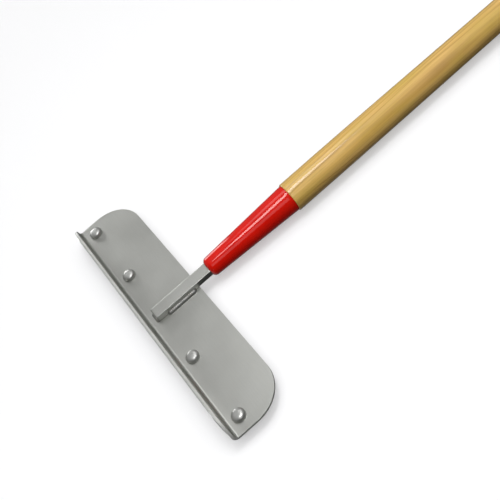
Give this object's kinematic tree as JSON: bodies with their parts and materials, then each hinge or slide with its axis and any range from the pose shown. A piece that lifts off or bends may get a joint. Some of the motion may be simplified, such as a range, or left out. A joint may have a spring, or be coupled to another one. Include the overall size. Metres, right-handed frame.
{
  "type": "algae scraper",
  "caption": "Long-handled scraper: a riveted steel head with a turned-up scraping lip, a welded flat shank, a red ferrule and a turned wooden handle.",
  "frame": {"origin": "centre of the rivet row on the flat underside of the blade", "axes": "+Y along the handle towards the butt, +Z out of the plate's top face, the way the lip is turned up, X across the head"},
  "size_m": [0.305, 1.4581, 0.0299],
  "materials": {
    "satin_steel": "satin",
    "blade_steel": "ground",
    "rivet_steel": "polished",
    "weld_metal": "as welded",
    "red_paint": "gloss",
    "ash_wood": "clear lacquer"
  },
  "bodies": {
    "root": {"head_plate": "satin_steel", "scraper_blade": "blade_steel", "blade_rivets": "rivet_steel", "shank": "satin_steel", "weld_bead_left": "weld_metal", "weld_bead_right": "weld_metal", "weld_bead_front": "weld_metal", "ferrule": "red_paint", "handle": "ash_wood"}
  },
  "joints": []
}
